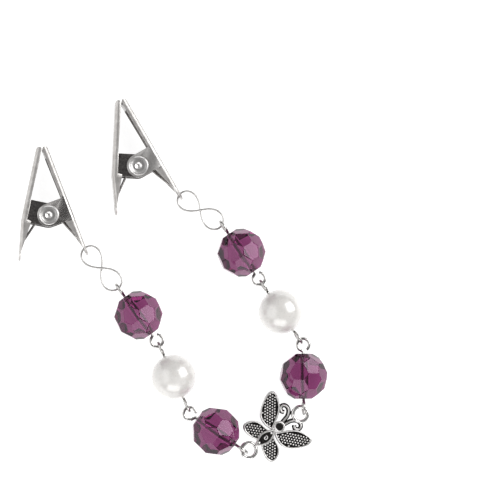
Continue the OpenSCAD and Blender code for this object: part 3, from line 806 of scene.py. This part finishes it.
# The head, and an antenna's curl as shares of half the charm's length: its wire starts some steps along,
# under the head's rim, and two of its points are joined to the ring and to the wing
HEAD_X = (HEAD_RING_D - RIM_W) / 2
CURL_STEPS = 6
CURL_FROM = 4
CURL_TO_RING = 4
CURL_TO_WING = 8
BRIDGE_ANGLE = 145
ANTENNA_CURL = [(0.3, 0.04), (0.45, 0.07), (0.57, 0.1), (0.69, 0.19), (0.74, 0.31), (0.71, 0.42),
                (0.62, 0.46), (0.54, 0.42), (0.51, 0.34), (0.56, 0.26)]


def wing_outline(length, bulge, inset):
    """Outline of a wing, drawn in by an inset."""
    return leaf(length - 3 * inset, bulge[0] * length - inset, bulge[1] * length - inset,
                FORE_PEAK, AFT_PEAK, WING_BLUNT)


def wing_dots(length, bulge):
    """Middles of the dots, in staggered rows inside the wing's rim."""
    margin = RIM_W + DOT_D / 2 + DOT_GAP
    step = DOT_PITCH * math.sqrt(3) / 2
    rows = math.ceil(max(bulge) * length / step)
    dots = []
    for row in range(-rows, rows + 1):
        for column in range(math.ceil(length / DOT_PITCH) + 1):
            x = (column + (0.5 if row % 2 else 0)) * DOT_PITCH
            y = row * step
            s = x / length
            if not BARE_TIP < s < 1 - BARE_TIP:
                continue
            fore = bulge[0] * length * leaf_half(s, FORE_PEAK, WING_BLUNT)
            aft = bulge[1] * length * leaf_half(s, AFT_PEAK, WING_BLUNT)
            if margin - aft < y < fore - margin:
                dots.append((x, y))
    return dots


def wing(length, bulge, matrix, lift):
    """One wing: a dark floor, a bright rim and rows of bright dots."""
    dark = [slab("floor", wing_outline(length, bulge, 0), 0, FLOOR_H + lift, matrix)]
    middle = [p + Vector((0.75 * RIM_W, 0)) for p in wing_outline(length, bulge, 0.5 * RIM_W)]
    light = [ridge("rim", middle, RIM_W, LINE_FOOT, RIM_H + lift, matrix, True)]
    dots = [dome("dot", at, DOT_D / 2, FLOOR_H + lift + DOT_SEAT, DOT_H, matrix)
            for at in wing_dots(length, bulge)]
    return dark, light, dots


def charm(name, node):
    """The cast winged figure with a ring at its tail and one at its head."""
    base = placed(Vector((0, 0)), CHARM_Z - RIM_H / 2, CHARM_HEADING)
    tail_tip = Vector((-CHARM_SPAN / 2 + RING_MID_R, 0))
    # The winged figure is turned about the tip of its tail, which lies in the bar of its ring
    pose = (Matrix.Translation((*tail_tip, 0)) @ Matrix.Rotation(math.radians(FIGURE_TURN), 4, "Z")
            @ Matrix.Translation((BODY_LENGTH, 0, 0)))
    figure = base @ pose
    body_top = RIM_H + BODY_RISE
    root = Vector((FRONT_ROOT[0] * BODY_LENGTH, FRONT_ROOT[1] * BODY_WIDTH))
    rear_root = Vector((REAR_ROOT[0] * BODY_LENGTH, REAR_ROOT[1] * BODY_WIDTH))
    dark, light, dots, rings = [], [], [], []
    for side in (1, -1):
        flip = Matrix.Scale(side, 4, (0, 1, 0))
        mirror = Matrix.Scale(-1, 4, (0, 1, 0))
        front = (figure @ flip @ Matrix.Translation((*root, 0))
                 @ Matrix.Rotation(math.radians(FRONT_ANGLE), 4, "Z") @ mirror)
        rear = (figure @ flip @ Matrix.Translation((*rear_root, 0))
                @ Matrix.Rotation(math.radians(REAR_ANGLE), 4, "Z") @ mirror)
        for length, bulge, matrix, lift in ((FRONT_WING, FRONT_BULGE, front, FRONT_LIFT),
                                            (REAR_WING, REAR_BULGE, rear, 0)):
            floor, rim, beads = wing(length, bulge, matrix, lift)
            dark += floor
            light += rim
            dots += beads
        curl = [Vector((HEAD_X, 0))] + [Vector(p) * CHARM_SPAN / 2 for p in ANTENNA_CURL]
        path = smooth_path(curl, CURL_STEPS)
        light.append(ridge("antenna", path[CURL_FROM:], ANTENNA_WIDTH, LINE_FOOT, RIM_H + ANTENNA_RISE,
                           figure @ flip, False))
        dark.append(ridge("web", path, CURL_WEB_WIDTH, 0, FLOOR_H + CURL_WEB_RISE, figure @ flip, False))
        wing_middle = root + FRONT_WING / 2 * turn(FRONT_ANGLE)
        dark.append(ridge("wing_web", [curl[CURL_TO_WING], wing_middle], WING_WEB_WIDTH, 0, FLOOR_H,
                          figure @ flip, False))
        curl_side = (pose @ flip @ Vector((*curl[CURL_TO_RING], 0))).xy
        bridge = [curl_side, Vector((CHARM_SPAN / 2, 0)) + RING_MID_R * turn(side * BRIDGE_ANGLE)]
        dark.append(ridge("bridge", bridge, WEB_WIDTH, 0, FLOOR_H, base, False))
    half = BODY_WIDTH / 2
    body = [p + Vector((-BODY_LENGTH, 0)) for p in leaf(BODY_LENGTH, half, half, 0.5, 0.5, 0)]
    inner = [Vector((-BODY_LENGTH / 2 + (p[0] + BODY_LENGTH / 2) * BODY_RIM_SHARES[0],
                     p[1] * BODY_RIM_SHARES[1])) for p in body]
    dark.append(slab("body", body, 0, RIM_H + BODY_FLOOR_RISE, figure))
    light.append(ridge("body_rim", inner, BODY_RIM_WIDTH, LINE_FOOT, body_top, figure, True))
    head = [Vector((HEAD_X, 0)) + (HEAD_RING_D - RIM_W) / 2 * turn(a) for a in range(0, 360, 10)]
    dark.append(slab("head", head, 0, RIM_H + HEAD_FLOOR_RISE, figure))
    light.append(ridge("head_rim", head, HEAD_RIM_WIDTH, LINE_FOOT, body_top, figure, True))
    for share in EYE_SHARES:
        dots.append(dome("eye", (-share * BODY_LENGTH, 0), EYE_DOT_R, RIM_H + BODY_FLOOR_RISE, EYE_DOT_H,
                         figure))
    swirl = [Vector((-BODY_LENGTH / 2, 0)) + (SWIRL_START + SWIRL_GROWTH * k) * turn(SWIRL_TURN * k)
             for k in range(SWIRL_POINTS)]
    dots.append(ridge("swirl", swirl, SWIRL_WIDTH, RIM_H, RIM_H + SWIRL_RISE, figure, False))
    tail = [tail_tip, (pose @ Vector((-TAIL_SHARE * BODY_LENGTH, 0, 0))).xy]
    dark.append(ridge("tail", tail, WEB_WIDTH, 0, FLOOR_H, base, False))
    for end in (-1, 1):
        circle = [Vector((end * CHARM_SPAN / 2, 0, RIM_H / 2)) + RING_MID_R * Vector((*turn(a), 0))
                  for a in range(0, 360, 6)]
        rings.append(tube("ring", circle, RING_BAR, base, 16, True))
    finishes = ((dark, CHARM_DARK), (light, CHARM_LIGHT), (dots, CHARM_DOT), (rings, CHARM_RING))
    for parts, material in finishes:
        for part in parts:
            part.data.materials.append(material)
    piece = joined(name, light + dark + dots + rings)
    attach(piece, "chain")
    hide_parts(node)
    return piece


for side, arm, end, spots, free_body in (("a", LEFT_ARM, LEFT_END, left, "free_lever_a"),
                                         ("b", RIGHT_ARM, RIGHT_END, right, "free_lever_b")):
    outer, inner = ("bead_a", "bead_b") if side == "a" else ("bead_d", "bead_c")
    glass_bead(outer + "_glass", spots["outer"], arm[2][0], outer)
    glass_bead(inner + "_glass", spots["inner"], arm[0][0], inner)
    pearl("pearl_" + side + "_coat", spots["pearl"], arm[1][0], "pearl_" + side)
    eye_pin(outer + "_wire", spots["outer"], AXIS_Z, arm[2][0], BEAD_PIN_REACH, True, False, "pin_" + outer)
    eye_pin(inner + "_wire", spots["inner"], AXIS_Z, arm[0][0], BEAD_PIN_REACH, False, True, "pin_" + inner)
    eye_pin("pearl_" + side + "_wire", spots["pearl"], PEARL_Z, arm[1][0], PEARL_PIN_REACH, False, False,
            "pin_pearl_" + side)
    figure_eight("figure_eight_" + side, spots["link"], end[0], "link_" + side)
    lever("held_lever_" + side, "chain_lever_" + side, "chain", spots["pivot"], end[3],
          NICKEL if side == "a" else WORN_NICKEL, False)
    # The loose lever's inner ears are painted near-black as shade
    lever("loose_lever_" + side, "free_lever_" + side, free_body, spots["pivot"], end[3] - CLIP_SPREAD,
          PAINTED_SHADE_EAR_NICKEL, True)
    rivet("rivet_head_" + side, spots["pivot"], "rivet_" + side)
    spring("coil_" + side, spots["pivot"], end[3], "spring_" + side)
charm("winged_charm", "charm")


# Floor, light and camera
def pale_table():
    """The white floor, which glows a little so that it stays as white as in a lit studio."""
    material, nodes, links, shader = new_material("pale_table")
    cloud = noise(nodes, links, 40, 2)
    links.new(ramp(nodes, links, cloud, [(0.3, (0.4, 0.4, 0.4)), (0.7, (0.42, 0.42, 0.42))]),
              shader.inputs["Base Color"])
    shader.inputs["Roughness"].default_value = 0.9
    shader.inputs["Specular IOR Level"].default_value = 0.1
    shader.inputs["Emission Color"].default_value = (1, 1, 1, 1)
    shader.inputs["Emission Strength"].default_value = 0.9
    return material


corners = [(x * FLOOR_HALF, y * FLOOR_HALF, -FLOOR_DROP) for x, y in ((-1, -1), (1, -1), (1, 1), (-1, 1))]
floor = make("floor", corners, [(0, 1, 2, 3)], smooth=False)
floor.data.materials.append(pale_table())


def area_light(name, location, size, watts, seen_through_glass=True):
    """A soft rectangular light that faces the middle of the floor."""
    data = bpy.data.lights.new(name, "AREA")
    data.shape = "RECTANGLE"
    data.size, data.size_y = size[0] * MM, size[1] * MM
    data.energy = watts
    light = bpy.data.objects.new(name, data)
    light.location = Vector(location) * MM
    light.rotation_euler = (-Vector(location)).to_track_quat("-Z", "Y").to_euler()
    light.visible_transmission = seen_through_glass
    bpy.context.scene.collection.objects.link(light)


area_light("right_softbox", (277, 141, 255), (300, 300), 1.3, False)
area_light("near_softbox", (-20, -356, 181), (400, 260), 0.8)
area_light("left_window", (-347, -12, 200), (500, 500), 0.85)

# The room is dark low down and straight overhead, and light between
world = bpy.data.worlds.new("studio")
bpy.context.scene.world = world
world.use_nodes = True
nodes, links = world.node_tree.nodes, world.node_tree.links
direction = nodes.new("ShaderNodeTexCoord")
split = nodes.new("ShaderNodeSeparateXYZ")
links.new(direction.outputs["Generated"], split.inputs["Vector"])
SKY = [(0.0, (0.14, 0.135, 0.135)), (0.24, (0.16, 0.155, 0.155)), (0.4, (0.6, 0.6, 0.6)),
       (0.82, (0.5, 0.5, 0.5)), (0.93, (0.16, 0.155, 0.155)), (1.0, (0.1, 0.097, 0.097))]
sky = ramp(nodes, links, split.outputs["Z"], SKY)
links.new(sky, nodes["Background"].inputs["Color"])
nodes["Background"].inputs["Strength"].default_value = 0.85

# The camera looks nearly straight down, a little from the lower left: its scale in pixels to a
# millimetre, and the pixel where the middle of the object falls
PHOTO_SIZE = 500
SCALE = 4.7
DISTANCE = 520
AIM_PIXEL = (173.5, 280.4)
AIM_Z = 4
TILT_X = 6
TILT_Y = 3
SENSOR = 36
tilt_x, tilt_y = math.sin(math.radians(TILT_X)), math.sin(math.radians(TILT_Y))
gaze = Vector((tilt_x, tilt_y, -math.sqrt(1 - tilt_x ** 2 - tilt_y ** 2)))
upward = (Vector((0, 1, 0)) - gaze * gaze.y).normalized()
rightward = gaze.cross(upward)
focal = SCALE * DISTANCE
offset = ((AIM_PIXEL[0] - PHOTO_SIZE / 2) / focal, (PHOTO_SIZE / 2 - AIM_PIXEL[1]) / focal)
ray = gaze + offset[0] * rightward + offset[1] * upward
camera_data = bpy.data.cameras.new("camera")
camera = bpy.data.objects.new("camera", camera_data)
bpy.context.scene.collection.objects.link(camera)
camera.matrix_world = (Matrix.Translation((Vector((0, 0, AIM_Z)) - ray * DISTANCE) * MM)
                       @ Matrix((rightward, upward, -gaze)).transposed().to_4x4())
camera_data.sensor_width = SENSOR
camera_data.lens = SENSOR * focal / PHOTO_SIZE
camera_data.clip_start = 0.01
bpy.context.scene.camera = camera
bpy.context.scene.view_settings.view_transform = "Standard"
